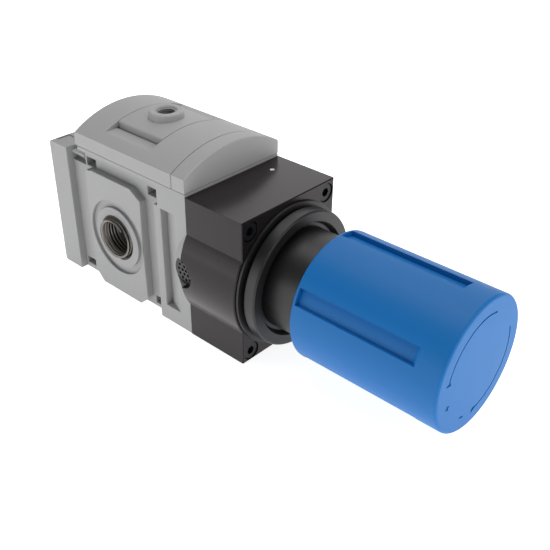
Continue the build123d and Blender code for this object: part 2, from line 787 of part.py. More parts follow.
# ---------------------------------------------------------------- bonnet
with BuildPart() as bonnet:
    with BuildSketch(across(joint)):
        with Locations((0, -axis_height)):
            Rectangle(2 * half_width, bonnet_height, align=(Align.CENTER, Align.MIN))
        Circle(bulge_radius)
    extrude(amount=bonnet_length)
    chamfer(bonnet.faces().sort_by(Axis.X)[-1].outer_wire().edges(), bonnet_chamfer)
    bar(joint, pocket_roof, housing_pocket_radius, Mode.SUBTRACT)
    bar(pocket_roof, spigot_start, spring_bore_radius, Mode.SUBTRACT)
    bar(spigot_start, bonnet_front, neck_spigot_radius, Mode.SUBTRACT)
    with Locations(Plane(origin=(bonnet_front, 0, axis_height), x_dir=(0, 1, 0), z_dir=(1, 0, 0))):
        with Locations(*screw_places):
            CounterBoreHole(screw_radius + screw_play, counterbore_radius, counterbore_depth, bonnet_length)
    for side in (-1, 1):
        side_bar(joint, axis_height, bulge_radius - vent_depth, bulge_radius + 2, vent_radius, side)
    # bleed hole in the top face
    with Locations((joint + bleed_reach, bleed_side, bonnet_height)):
        Cylinder(bleed_radius, bleed_depth, align=(Align.CENTER, Align.CENTER, Align.MAX),
                 mode=Mode.SUBTRACT)
finish("bonnet", bonnet)

with BuildPart() as bleed_orifice:
    with Locations((joint + bleed_reach, bleed_side, bonnet_height - fit_clearance)):
        Cylinder(bleed_radius, bleed_depth - fit_clearance,
                 align=(Align.CENTER, Align.CENTER, Align.MAX))
        Cylinder(bleed_radius / 3, bleed_depth - fit_clearance,
                 align=(Align.CENTER, Align.CENTER, Align.MAX), mode=Mode.SUBTRACT)
finish("bleed_orifice", bleed_orifice)

head_seat = bonnet_front - counterbore_depth
with BuildPart() as bonnet_screws:
    with BuildSketch(across(joint - screw_depth + 1)):
        with Locations(*screw_places):
            Circle(screw_radius)
    extrude(amount=head_seat - joint + screw_depth - 1)
    with BuildSketch(across(head_seat)):
        with Locations(*screw_places):
            Circle(screw_head_radius)
    extrude(amount=screw_head_height)
    with BuildSketch(across(head_seat + screw_head_height / 2)):
        with Locations(*screw_places):
            RegularPolygon(screw_key, 6)
    extrude(amount=screw_head_height / 2, mode=Mode.SUBTRACT)
finish("bonnet_screws", bonnet_screws)

with BuildPart() as exhaust_inserts:
    for side in (-1, 1):
        insert_floor = bulge_radius - vent_depth
        insert_front = insert_floor + insert_thickness
        side_bar(joint, axis_height, insert_floor, insert_front, vent_radius, side, Mode.ADD)
        for ring_count, ring_mid in ((1, 0.0), (6, insert_pitch), (12, 2 * insert_pitch)):
            for index in range(ring_count):
                turn = 2 * pi * index / ring_count
                side_bar(joint + ring_mid * cos(turn), axis_height + ring_mid * sin(turn),
                         insert_floor, insert_front, insert_hole, side)
finish("exhaust_inserts", exhaust_inserts)

# ---------------------------------------------------------------- neck, disc and clamp ring
lock_ring_start = neck_end - neck_step_length
neck_inner_end = neck_end - neck_end_wall
with BuildPart() as neck_sleeve:
    bar(spigot_start, bonnet_front, neck_spigot_radius)
    bar(bonnet_front, lock_ring_start, neck_radius)
    bar(lock_ring_start, neck_end, neck_end_radius)
    fillet(neck_sleeve.faces().sort_by(Axis.X)[-1].edges(), neck_round)
    bar(spigot_start, neck_inner_end, spring_bore_radius, Mode.SUBTRACT)
    bar(neck_inner_end, neck_end, spindle_shank_radius + running_clearance, Mode.SUBTRACT)
    # keyways for the spindle nut
    keyway_reach = spring_bore_radius + key_reach + key_clearance
    keyway_half = key_half_width + key_clearance
    block(nut_flange_seat - setting_travel - 2, nut_flange_seat + nut_flange + 2,
          -keyway_reach, keyway_reach, axis_height - keyway_half, axis_height + keyway_half,
          Mode.SUBTRACT)
finish("neck_sleeve", neck_sleeve)

with BuildPart() as spacer_disc:
    bar(bonnet_front, bonnet_front + disc_thickness, disc_radius)
    bar(bonnet_front, bonnet_front + disc_thickness, neck_radius, Mode.SUBTRACT)
finish("spacer_disc", spacer_disc)

with BuildPart() as clamp_ring:
    with BuildSketch(section):
        with BuildLine():
            Polyline(
                (bonnet_front + disc_thickness, neck_radius),
                (bonnet_front + disc_thickness, ring_radius - ring_groove),
                (ring_back, ring_radius - ring_groove),
                (ring_back, ring_radius - ring_edge),
                (ring_back + ring_edge, ring_radius),
                (ring_front - ring_edge, ring_radius),
                (ring_front, ring_radius - ring_edge),
                (ring_front, ring_dish_radius),
                (ring_front - ring_dish_depth, ring_dish_radius - ring_dish_slope),
                (ring_front - ring_dish_depth, neck_radius),
                close=True,
            )
        make_face()
    revolve(axis=setting_axis)
finish("clamp_ring", clamp_ring)


def toothed(inner, outer, tooth_from, tooth_to, first):
    """A ring, with teeth between two radii and the first one centred at an angle."""
    with BuildSketch(Plane.XY, mode=Mode.PRIVATE) as face:
        Circle(outer)
        Circle(inner, mode=Mode.SUBTRACT)
        with BuildSketch(mode=Mode.PRIVATE) as tooth:
            half_angle = radians(tooth_width / 2)
            with BuildLine():
                Polyline(
                    (tooth_from * cos(half_angle), tooth_from * sin(half_angle)),
                    (tooth_to * cos(half_angle), tooth_to * sin(half_angle)),
                    (tooth_to * cos(half_angle), -tooth_to * sin(half_angle)),
                    (tooth_from * cos(half_angle), -tooth_from * sin(half_angle)),
                    close=True,
                )
            make_face()
        with PolarLocations(0, lock_teeth, start_angle=first):
            add(tooth.sketch)
    return face.sketch


tooth_pitch = 360 / lock_teeth
lock_ring_radius = neck_end_radius + lock_ring_wall
with BuildPart() as lock_ring:
    with BuildSketch(across(lock_ring_start)):
        add(toothed(neck_end_radius, lock_ring_radius, lock_ring_radius - lock_overlap,
                    lock_ring_radius + tooth_height, 0))
    extrude(amount=lock_ring_length)
finish("lock_ring", lock_ring)

# ---------------------------------------------------------------- setting gear
with BuildPart() as setting_spring:
    add(coil_spring(spring_foot, nut_flange_seat, spring_coil_radius, spring_wire, spring_pitch))
finish("setting_spring", setting_spring)

with BuildPart() as spindle_nut:
    nut_end = nut_flange_seat + nut_flange
    lug_reach = spring_bore_radius + key_reach
    bar(nut_flange_seat, nut_end, spring_bore_radius - nut_flange_play)
    bar(nut_flange_seat - nut_shank, nut_flange_seat, spring_guide_radius)
    block(nut_flange_seat, nut_end, -lug_reach, lug_reach,
          axis_height - key_half_width, axis_height + key_half_width)
    bar(nut_flange_seat - nut_shank, nut_end, spindle_radius + running_clearance, Mode.SUBTRACT)
finish("spindle_nut", spindle_nut)

collar_end = neck_inner_end - washer_thickness - running_clearance
collar_start = collar_end - collar_length
hex_start = neck_end + hex_clear
screw_thread_start = hub_front - 9
detent_groove = hub_front - 8
with BuildPart() as spindle:
    bar(nut_flange_seat - nut_shank - setting_travel - 2, collar_start, spindle_radius)
    bar(collar_start, collar_end, collar_radius)
    bar(collar_end, hex_start, spindle_shank_radius)
    with BuildSketch(across(hex_start)):
        RegularPolygon(spindle_flats, 6, major_radius=False)
    extrude(amount=hub_front - hex_start)
    # threaded hole for the knob screw, and the groove for the detent ring
    bar(screw_thread_start - 1, hub_front, knob_screw_radius, Mode.SUBTRACT)
    with BuildSketch(across(detent_groove)):
        Circle(spindle_flats + 2)
        Circle(spindle_flats - detent_depth, mode=Mode.SUBTRACT)
    extrude(amount=detent_width, mode=Mode.SUBTRACT)
finish("adjusting_spindle", spindle)

with BuildPart() as detent_ring:
    seal_ring(detent_groove + detent_width / 2, spindle_flats - detent_depth + detent_cord, detent_cord)
finish("detent_ring", detent_ring)

with BuildPart() as thrust_washer:
    washer_start = neck_inner_end - washer_thickness
    bar(washer_start, neck_inner_end, collar_radius + collar_play)
    bar(washer_start, neck_inner_end, spindle_shank_radius + running_clearance, Mode.SUBTRACT)
finish("thrust_washer", thrust_washer)

# ---------------------------------------------------------------- knob
web_start = neck_end + lock_travel + 1
tooth_root = knob_bore_radius - hub_tooth_root
with BuildPart() as knob_hub:
    bar(web_start, hub_front, hub_radius)
    bar(web_start, web_start + hub_web, knob_bore_radius)
    with BuildSketch(across(neck_end - lock_travel)):
        add(toothed(tooth_root, knob_bore_radius, lock_ring_radius + hub_root_clearance,
                    tooth_root + fit_clearance, tooth_pitch / 2))
    extrude(amount=lock_travel)
    bar(neck_end, web_start, knob_bore_radius)
    bar(neck_end, web_start, knob_bore_radius - hub_skirt_wall, Mode.SUBTRACT)
    with BuildSketch(across(web_start)):
        RegularPolygon(spindle_flats + fit_clearance, 6, major_radius=False)
    extrude(amount=hub_front - web_start, mode=Mode.SUBTRACT)
finish("knob_hub", knob_hub)

with BuildPart() as knob_screw:
    head_start = hub_front + knob_washer_thickness
    bar(hub_front, head_start, knob_washer_radius)
    bar(screw_thread_start, hub_front, knob_screw_radius)
    bar(head_start, head_start + knob_screw_head, knob_screw_head_radius)
    with BuildSketch(across(head_start + knob_screw_head / 2)):
        RegularPolygon(knob_screw_head_radius / 2, 6)
    extrude(amount=knob_screw_head / 2, mode=Mode.SUBTRACT)
finish("knob_screw", knob_screw)

with BuildPart() as knob:
    bar(knob_back, knob_front, knob_radius)
    fillet(knob.faces().sort_by(Axis.X)[-1].edges(), knob_edge)
    bar(knob_back, knob_front - knob_end_wall, knob_bore_radius, Mode.SUBTRACT)
    chamfer(knob.faces().sort_by(Axis.X)[0].outer_wire().edges(), knob_back_chamfer)
    # longitudinal grip flutes, their outer ends ramped
    with BuildSketch(section):
        with BuildLine():
            Polyline(
                (flute_start, knob_radius - flute_depth),
                (flute_start, knob_radius + flute_depth),
                (flute_end + flute_depth, knob_radius + flute_depth),
                (flute_end - flute_depth, knob_radius - flute_depth),
                close=True,
            )
        make_face()
    flute = revolve(axis=setting_axis, revolution_arc=flute_width, mode=Mode.PRIVATE)
    with BuildPart(mode=Mode.PRIVATE) as flutes:
        for index in range(flute_count):
            turn = flute_first - flute_width / 2 + index * 360 / flute_count
            add(flute.rotate(setting_axis, turn))
    add(flutes.part, mode=Mode.SUBTRACT)
finish("knob", knob)

# ---------------------------------------------------------------- export
os.makedirs("parts", exist_ok=True)
for piece_name, piece in pieces.items():
    export_step(piece, f"parts/{piece_name}.step")
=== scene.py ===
"""Modular precision pressure regulator with a blue setting knob, lying on its back.

Metres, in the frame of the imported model: +X runs along the setting axis towards the knob,
Y is the flow axis and +Z points out of the domed front cover.
"""

import json
from math import cos, pi, radians, sin

import bmesh
import bpy
from mathutils import Matrix, Vector


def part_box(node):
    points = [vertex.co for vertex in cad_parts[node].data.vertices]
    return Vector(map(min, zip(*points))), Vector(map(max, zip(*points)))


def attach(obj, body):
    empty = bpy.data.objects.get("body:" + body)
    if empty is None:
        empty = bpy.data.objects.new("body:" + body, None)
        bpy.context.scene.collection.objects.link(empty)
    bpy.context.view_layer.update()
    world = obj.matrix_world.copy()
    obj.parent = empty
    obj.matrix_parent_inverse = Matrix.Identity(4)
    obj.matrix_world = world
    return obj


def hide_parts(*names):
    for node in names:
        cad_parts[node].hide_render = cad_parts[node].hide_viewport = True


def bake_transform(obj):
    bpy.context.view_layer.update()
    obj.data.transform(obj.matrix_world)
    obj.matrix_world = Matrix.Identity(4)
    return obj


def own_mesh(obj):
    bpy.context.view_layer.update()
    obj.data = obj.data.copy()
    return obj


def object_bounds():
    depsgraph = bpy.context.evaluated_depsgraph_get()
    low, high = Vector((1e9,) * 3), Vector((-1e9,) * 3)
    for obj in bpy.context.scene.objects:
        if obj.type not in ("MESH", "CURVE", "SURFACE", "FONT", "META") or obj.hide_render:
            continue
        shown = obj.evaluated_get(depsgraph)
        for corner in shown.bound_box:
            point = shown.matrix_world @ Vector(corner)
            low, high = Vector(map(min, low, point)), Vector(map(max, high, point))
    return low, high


bl_info = {
    "name": "Pressure Regulator",
    "version": (1, 0, 0),
    "blender": (4, 5, 0),
    "location": "View3D > Sidebar > Regulator",
    "description": "Builds the visible pieces of a modular precision pressure regulator",
    "category": "Object",
}

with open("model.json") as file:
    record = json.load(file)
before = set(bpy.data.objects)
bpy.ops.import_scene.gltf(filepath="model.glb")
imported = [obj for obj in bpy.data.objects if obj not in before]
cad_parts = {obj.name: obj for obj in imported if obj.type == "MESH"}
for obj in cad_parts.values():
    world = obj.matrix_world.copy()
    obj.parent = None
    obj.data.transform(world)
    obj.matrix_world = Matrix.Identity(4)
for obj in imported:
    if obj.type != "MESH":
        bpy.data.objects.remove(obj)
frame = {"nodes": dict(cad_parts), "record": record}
cad_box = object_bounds()

# ---------------------------------------------------------------- places taken from the frame
mm = 0.001
nodes = frame["nodes"]
body_of_node = {
    node: body for body, members in frame["record"]["behaviour"]["bodies"].items()
    for node in members
}
slot_of_node = {
    part["node"]: part["material_slot"] for part in frame["record"]["subparts"]
}
mounts = {mount["name"]: mount for mount in frame["record"]["mounts"]}

knob_low, knob_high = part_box("knob")
adapter_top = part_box("gauge_adapter_plate")[1].z
widest_side = -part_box("valve_body")[0].y    # at the flare, outside the faces of the ports
setting_height = (knob_low.z + knob_high.z) / 2
setting_centre = Vector((0, 0, setting_height))
along_axis = Vector((1, 0, 0))
port_centre = Vector(mounts["port_a"]["pos_m"])
port_radius = mounts["port_a"]["dims"]["r_mm"] * mm
gauge_centre = Vector(mounts["gauge_port"]["pos_m"])
gauge_radius = mounts["gauge_port"]["dims"]["r_mm"] * mm

# ---------------------------------------------------------------- limits of the mesh work
weld_gap = 0.001 * mm           # points of a copied shape that count as one
seam_gap = 0.01 * mm            # points that meet where a spun shape closes
flat_turn = radians(0.5)        # faces that turn by less are one flat
sharp_turn = radians(20)        # edges of castings and covers that turn by more are rounded
broken_turn = radians(28)       # edges of machined pieces that turn by more are broken
crease_turn = radians(35)       # edges that turn by more stay creased in the shading
edge_segments = 2               # steps across a rounding
face_room = 2.2                 # least mean width of a face beside a rounded edge, in roundings
stub_room = 2.2                 # least length of a rounded edge that stands alone, in roundings
neighbour_room = 1.15           # least length of an edge that meets a rounded one, in roundings
straight_on = -0.85             # cosine between the headings of two edges that run on in a line
flat_weight = 80                # how far the large flats lead the shading of machined pieces
even_weight = 50                # the same for castings and covers

# ---------------------------------------------------------------- proportions of the detail
thread_sunk = 0.05 * mm         # root of a thread, set into the wall of its bore
root_share = 0.46               # half the width of a thread's root, in pitches
crest_share = 0.09              # half the width of a thread's crest, in pitches
thread_steps = 56               # steps in a turn of thread
thread_start = Vector((1, -1, 1))    # side of a bore where its thread begins, out of sight
bare_rim = 1.7 * mm             # bare metal round a port's bore
bare_depth = 15 * mm            # widest side of the casting to the end of the ports' bare metal
tool_pitch = 0.22 * mm          # pitch of the cutter's rings on that metal
knob_chamfer = 0.8 * mm         # outer edge of the knob's open end
knob_crease = 0.22 * mm         # rounding of the flutes' edges and the marks' edges
knob_steps = 360                # steps round the knob
corner_turns = range(15, 90, 15)    # degrees along the rounding of the knob's front edge
flute_skin = 0.1 * mm           # tolerance in finding the flutes' faces
arrows = ((-19, 80), (-71, -178))    # tail and tip of each arrow, in degrees from +Z towards -Y
arrow_step = 1.5                # degrees in a step of an arrow's shaft
arrow_head = 2.1 * mm           # middle of an arrow's head to its corners
plus_turn = 112                 # place of the plus sign, in degrees from +Z towards -Y
minus_turn = 158                # place of the minus sign
sign_arm = 3.2 * mm             # length of the signs' strokes
cutter_rise = 1 * mm            # front face of the knob to the top of the marks' cutter
sectors = 8                     # parts that a diaphragm is split into
sector_steps = 6                # steps round a sector
ladder_steps = 14               # steps across a sector
pilot_clamp = 3.0 * mm          # edge of the pilot's plate to the rim that clamps its diaphragm
pilot_lap = 0.2 * mm            # edge of the pilot's plate to where its diaphragm starts to bend
main_clamp = 4.5 * mm           # the same two for the main diaphragm
main_lap = 0.3 * mm

# ---------------------------------------------------------------- places of the stage
camera_place = (0.30408, -0.24840, 0.24517)
camera_turn = (radians(57.420), radians(-0.532), radians(42.360))
sensor_width = 36               # millimetres
nearest_view = 0.01             # the camera sees nothing closer
floor_reach = 12.0              # middle of the floor to its sides
floor_gap = 0.02 * mm           # underside of the object to the floor


# ---------------------------------------------------------------- sizes and colours
def length(name, description, default):
    return bpy.props.FloatProperty(
        name=name, description=description, default=default, min=0, unit="LENGTH", precision=5
    )


def angle(name, description, default):
    return bpy.props.FloatProperty(
        name=name, description=description, default=radians(default), subtype="ANGLE"
    )


def colour(name, description, default):
    return bpy.props.FloatVectorProperty(
        name=name, description=description, default=default, subtype="COLOR", min=0, max=1
    )


def power(name, description, default):
    return bpy.props.FloatProperty(
        name=name, description=description, default=default, min=0, unit="POWER"
    )


class RegulatorSizes(bpy.types.PropertyGroup):
    """Sizes of the detail that is added to the solid model."""

    casting_edge: length("Casting edge", "Rounding of the die casting's edges", 0.42 * mm)
    cover_edge: length("Cover edge", "Rounding of the moulded covers' edges", 0.35 * mm)
    machined_edge: length("Machined edge", "Broken edge of machined pieces", 0.2 * mm)
    small_edge: length("Small edge", "Broken edge of screws and inner pieces", 0.1 * mm)
    port_pitch: length("Port pitch", "Pitch of the port thread", 1.814 * mm)
    port_thread_depth: length("Port thread depth", "Height of the port thread", 1.162 * mm)
    port_lead_in: length("Port lead-in", "Casting's widest side to the first turn", 2.4 * mm)
    gauge_pitch: length("Gauge pitch", "Pitch of the gauge thread", 0.907 * mm)
    gauge_thread_depth: length("Gauge thread depth", "Height of the gauge thread", 0.581 * mm)
    gauge_lead_in: length("Gauge lead-in", "Boss face to the first turn of the thread", 1.0 * mm)
    knob_wall: length("Knob wall", "Wall of the knob's shell", 3.5 * mm)
    knob_end_wall: length("Knob end wall", "Wall behind the knob's front face", 3.4 * mm)
    knob_edge: length("Knob edge", "Rounding of the knob's front edge", 1.5 * mm)
    flute_count: bpy.props.IntProperty(
        name="Flutes", description="Grip flutes round the knob", default=5, min=1, max=12
    )
    flute_width: angle("Flute width", "Angle that a grip flute takes up", 15)
    flute_first: angle("First flute", "Middle of the first flute, from +Z towards -Y", 64)
    flute_depth: length("Flute depth", "Depth of the grip flutes", 2.2 * mm)
    flute_back: length("Flute back margin", "Open end of the knob to the flutes", 1.7 * mm)
    flute_front: length("Flute front margin", "Front face of the knob to the flutes", 12.3 * mm)
    mark_radius: length("Mark radius", "Setting axis to the marks on the knob's face", 23.5 * mm)
    mark_width: length("Mark width", "Width of the engraved lines", 0.8 * mm)
    mark_depth: length("Mark depth", "Depth of the engraved lines", 0.45 * mm)


class RegulatorColours(bpy.types.PropertyGroup):
    """Base colours of the finishes, in linear light."""

    body_paint: colour("Body paint", "Paint of the die casting", (0.345, 0.346, 0.35))
    cover_plastic: colour("Cover plastic", "Moulded front cover", (0.365, 0.366, 0.364))
    bonnet_anodised: colour("Bonnet", "Anodised bonnet", (0.019, 0.0145, 0.0165))
    black_plastic: colour("Black plastic", "Neck, ring and inserts", (0.009, 0.009, 0.0095))
    knob_blue: colour("Knob", "Moulded knob", (0.005, 0.152, 0.46))
    bare_metal: colour("Bare metal", "Machined surfaces of the casting", (0.20, 0.185, 0.17))
    spring_steel: colour("Steel", "Springs, spindle and nuts", (0.55, 0.55, 0.56))
    black_steel: colour("Black steel", "Socket screws", (0.03, 0.03, 0.032))
    brass: colour("Brass", "Seats, guides and the spindle nut", (0.72, 0.52, 0.22))
    bare_aluminium: colour("Aluminium", "Turned inner pieces", (0.6, 0.6, 0.61))
    seal_rubber: colour("Rubber", "Seals and diaphragms", (0.02, 0.02, 0.02))
    white_plastic: colour("White plastic", "Bleed orifice", (0.8, 0.8, 0.78))


class RegulatorStage(bpy.types.PropertyGroup):
    """Camera, lights and floor."""

    floor_glow: bpy.props.FloatProperty(
        name="Floor glow", description="Light that the floor itself gives", default=0.88, min=0
    )
    sky: bpy.props.FloatProperty(
        name="Sky", description="Strength of the white surroundings", default=0.18, min=0
    )
    key_power: power("Key light", "Softbox on the port side", 2.0)
    top_power: power("Top light", "Softbox above and behind", 5.2)
    back_power: power("Back light", "Softbox behind the far port", 1.6)
    end_power: power("End light", "Softbox facing the knob", 2.8)
    lens: bpy.props.FloatProperty(
        name="Lens", description="Focal length on a 36 mm sensor", default=54.32,
        subtype="DISTANCE_CAMERA",
    )


# ---------------------------------------------------------------- surface finishes
class Number:
    """A number that a node gives; arithmetic on it adds Math nodes to the same wiring."""

    def __init__(self, wiring, socket):
        self.maths = wiring.maths
        self.socket = socket

    def __add__(self, other):
        return self.maths("ADD", self, other)

    __radd__ = __add__

    def __sub__(self, other):
        return self.maths("SUBTRACT", self, other)

    def __rsub__(self, other):
        return self.maths("SUBTRACT", other, self)

    def __mul__(self, other):
        return self.maths("MULTIPLY", self, other)

    __rmul__ = __mul__

    def __pow__(self, other):
        return self.maths("POWER", self, other)

    def __rpow__(self, other):
        return self.maths("POWER", other, self)

    def __gt__(self, other):
        return self.maths("GREATER_THAN", self, other)

    def __lt__(self, other):
        return self.maths("LESS_THAN", self, other)


class Wiring:
    """The nodes of a material or of the surroundings."""

    def __init__(self, tree):
        self.tree = tree

    def add(self, kind, settings=None, sockets=None):
        """A node, with its settings made first and then the values or links of its sockets."""
        node = self.tree.nodes.new(kind)
        for key, value in (settings or {}).items():
            setattr(node, key, value)
        for key, value in (sockets or {}).items():
            self.feed(node.inputs[key], value)
        return node

    def feed(self, socket, value):
        """Links a number or another node's socket to a socket, or sets a plain value on it."""
        if isinstance(value, Number):
            value = value.socket
        if isinstance(value, bpy.types.NodeSocket):
            self.tree.links.new(value, socket)
        else:
            socket.default_value = value

    def maths(self, operation, *values):
        """The result of a Math node."""
        node = self.add("ShaderNodeMath", {"operation": operation}, dict(enumerate(values)))
        return Number(self, node.outputs[0])


class Finish(Wiring):
    """A material under construction, with its principled shader."""

    def __init__(self, name):
        self.material = bpy.data.materials.new(name)
        self.material.use_nodes = True
        super().__init__(self.material.node_tree)
        self.shader = self.tree.nodes["Principled BSDF"]
        self.place = self.add("ShaderNodeTexCoord").outputs["Object"]
        axes = self.add("ShaderNodeSeparateXYZ", sockets={0: self.place})
        self.x, self.y, self.z = (Number(self, axis) for axis in axes.outputs)

    def noise(self, size, detail=2.0, roughness=0.5, stretch=(1, 1, 1)):
        """Noise from 0 to 1 with features of about that size, longer along the stretched axes."""
        place = self.place
        if stretch != (1, 1, 1):
            shrink = [1 / share for share in stretch]
            place = self.add(
                "ShaderNodeMapping", sockets={"Vector": self.place, "Scale": shrink}
            ).outputs[0]
        sockets = {"Vector": place, "Scale": 1 / size, "Detail": detail, "Roughness": roughness}
        return Number(self, self.add("ShaderNodeTexNoise", sockets=sockets).outputs[0])

    def blend(self, factor, first, second):
        """A colour between two colours."""
        node = self.add("ShaderNodeMix", {"data_type": "RGBA"})
        for key, value in (("Factor", factor), (6, first), (7, second)):
            self.feed(node.inputs[key], value)
        return node.outputs[2]

    def shade(self, tone, amount, variation):
        """A base colour that grows darker and lighter by a small amount with the variation."""
        dark = [*(share * (1 - amount) for share in tone), 1]
        light = [*(min(1, share * (1 + amount)) for share in tone), 1]
        return self.blend(variation, dark, light)

    def relief(self, height, depth, normal=None):
        """A normal tilted by a height from 0 to 1 over that depth in metres."""
        sockets = {"Height": height, "Distance": depth, "Strength": 1.0}
        if normal is not None:
            sockets["Normal"] = normal
        return self.add("ShaderNodeBump", sockets=sockets).outputs[0]

    def settle(self, **inputs):
        """Feeds the shader; an underscore in a name stands for a space."""
        for key, value in inputs.items():
            self.feed(self.shader.inputs[key.replace("_", " ")], value)
        return self.material


def body_paint(colours):
    """Light grey paint over a die casting, with the mouths and bores of the ports left bare."""
    finish = Finish("body_paint")
    radius = ((finish.x - port_centre.x) ** 2 + (finish.z - port_centre.z) ** 2) ** 0.5
    height = finish.maths("ABSOLUTE", finish.y)
    bore = (radius < port_radius + bare_rim) * (height > widest_side - bare_depth)
    rings = finish.maths("SINE", radius * (2 * pi / tool_pitch)) * bore
    mottle = finish.noise(9 * mm, detail=3)
    peel = finish.noise(0.9 * mm, detail=2, roughness=0.6)
    grit = finish.noise(0.25 * mm, detail=1)
    bare = [*colours.bare_metal, 1]
    skin = finish.relief(peel * 0.7 + grit * 0.3, 0.018 * mm)
    return finish.settle(
        Base_Color=finish.blend(bore, finish.shade(colours.body_paint, 0.03, mottle), bare),
        Metallic=bore * 0.85,
        Roughness=0.46 + peel * 0.08 - bore * 0.18,
        Normal=finish.relief(rings * 0.5 + 0.5, 0.006 * mm, skin),
    )


def cover_plastic(colours):
    """Grey moulded plastic with a fine spark-eroded texture."""
    finish = Finish("cover_plastic")
    flow = finish.noise(14 * mm, detail=2)
    spark = finish.noise(0.32 * mm, detail=3, roughness=0.65)
    return finish.settle(
        Base_Color=finish.shade(colours.cover_plastic, 0.02, flow),
        Roughness=0.48 + spark * 0.12,
        Normal=finish.relief(spark, 0.022 * mm),
    )


def bonnet_anodised(colours):
    """Black anodised aluminium with fine tool lines across the setting axis."""
    finish = Finish("bonnet_anodised")
    lines = finish.noise(0.12 * mm, detail=2, roughness=0.7, stretch=(1, 60, 60))
    cloud = finish.noise(11 * mm, detail=3)
    return finish.settle(
        Base_Color=finish.shade(colours.bonnet_anodised, 0.12, cloud),
        Metallic=0.4,
        Roughness=0.19 + lines * 0.08,
        Specular_IOR_Level=0.38,
        Normal=finish.relief(lines, 0.004 * mm),
    )


def black_plastic(colours):
    """Black glass-filled plastic, satin."""
    finish = Finish("black_plastic")
    grain = finish.noise(0.5 * mm, detail=3, roughness=0.6)
    cloud = finish.noise(8 * mm)
    return finish.settle(
        Base_Color=finish.shade(colours.black_plastic, 0.15, cloud),
        Roughness=0.34 + grain * 0.14,
        Normal=finish.relief(grain, 0.01 * mm),
    )


def knob_blue(colours):
    """Blue moulded plastic, semi-matte, with faint flow marks."""
    finish = Finish("knob_blue")
    grain = finish.noise(0.35 * mm, detail=3, roughness=0.6)
    flow = finish.noise(10 * mm, detail=2, roughness=0.5, stretch=(4, 1, 1))
    return finish.settle(
        Base_Color=finish.shade(colours.knob_blue, 0.04, flow),
        Roughness=0.42 + grain * 0.10,
        Specular_IOR_Level=0.25,
        Normal=finish.relief(grain, 0.012 * mm),
    )


def turned(name, tone, roughness, pitch=0.18 * mm):
    """Bright metal with fine turning rings about the setting axis."""
    finish = Finish(name)
    lines = finish.noise(pitch, detail=2, roughness=0.7, stretch=(1, 40, 40))
    cloud = finish.noise(6 * mm, detail=2)
    return finish.settle(
        Base_Color=finish.shade(tone, 0.05, cloud),
        Metallic=1.0,
        Roughness=roughness + lines * 0.12,
        Normal=finish.relief(lines, 0.004 * mm),
    )


def spring_steel(colours):
    """Bright drawn steel."""
    return turned("spring_steel", colours.spring_steel, 0.24)


def brass(colours):
    """Turned brass."""
    return turned("brass", colours.brass, 0.22)


def bare_aluminium(colours):
    """Turned aluminium."""
    return turned("bare_aluminium", colours.bare_aluminium, 0.3)


def black_steel(colours):
    """Black oxide screws with a thin film of oil."""
    finish = Finish("black_steel")
    grain = finish.noise(0.3 * mm, detail=3)
    return finish.settle(
        Base_Color=finish.shade(colours.black_steel, 0.2, grain),
        Metallic=0.8,
        Roughness=0.3 + grain * 0.15,
        Normal=finish.relief(grain, 0.005 * mm),
    )


def seal_rubber(colours):
    """Black nitrile rubber."""
    finish = Finish("seal_rubber")
    bloom = finish.noise(3 * mm, detail=3)
    return finish.settle(
        Base_Color=finish.shade(colours.seal_rubber, 0.25, bloom),
        Roughness=0.6 + bloom * 0.15,
        Normal=finish.relief(bloom, 0.01 * mm),
    )


def white_plastic(colours):
    """White moulded plastic."""
    finish = Finish("white_plastic")
    grain = finish.noise(0.4 * mm)
    return finish.settle(
        Base_Color=finish.shade(colours.white_plastic, 0.02, grain),
        Roughness=0.42 + grain * 0.08,
        Normal=finish.relief(grain, 0.008 * mm),
    )


finish_makers = {
    maker.__name__: maker
    for maker in (
        body_paint, cover_plastic, bonnet_anodised, black_plastic, knob_blue, spring_steel,
        brass, bare_aluminium, black_steel, seal_rubber, white_plastic,
    )
}


def finish_for(slot):
    """The material of a slot, made the first time that it is asked for."""
    found = bpy.data.materials.get(slot + "_finish")
    if found is None:
        found = finish_makers[slot](bpy.context.scene.regulator_colours)
        found.name = slot + "_finish"
    return found


# ---------------------------------------------------------------- making pieces
def dress(node):
    """Gives a CAD node, whose shape stays as it is, the finish of its slot."""
    mesh = nodes[node].data
    mesh.materials.clear()
    mesh.materials.append(finish_for(slot_of_node[node]))


def keep(shape, name):
    """Makes a bmesh into a new object at the origin, and frees it."""
    mesh = bpy.data.meshes.new(name)
    shape.to_mesh(mesh)
    shape.free()
    piece = bpy.data.objects.new(name, mesh)
    bpy.context.scene.collection.objects.link(piece)
    return piece


def install(piece, body, slot, *stood_for):
    """Smooths a piece, gives it its finish, and fixes it to its body in place of CAD nodes."""
    piece.data.materials.clear()
    piece.data.materials.append(finish_for(slot))
    for face in piece.data.polygons:
        face.use_smooth = True
    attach(piece, body)
    if stood_for:
        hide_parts(*stood_for)


def shade_evenly(piece, weight):
    """Lets the large flats lead the shading of the roundings between them."""
    weigh = piece.modifiers.new("even shading", "WEIGHTED_NORMAL")
    weigh.keep_sharp = True
    weigh.weight = weight


def round_edges(piece, width):
    """Rounds every sharp edge of a piece, and keeps the faces between them flat."""
    bevel = piece.modifiers.new("rounded edges", "BEVEL")
    bevel.width = width
    bevel.segments = edge_segments
    bevel.limit_method = "ANGLE"
    bevel.angle_limit = broken_turn
    shade_evenly(piece, flat_weight)


def apply_modifiers(piece):
    """Replaces a piece's mesh with what its modifiers make of it."""
    solved = piece.evaluated_get(bpy.context.evaluated_depsgraph_get())
    mesh = bpy.data.meshes.new_from_object(solved)
    piece.modifiers.clear()
    piece.data = mesh


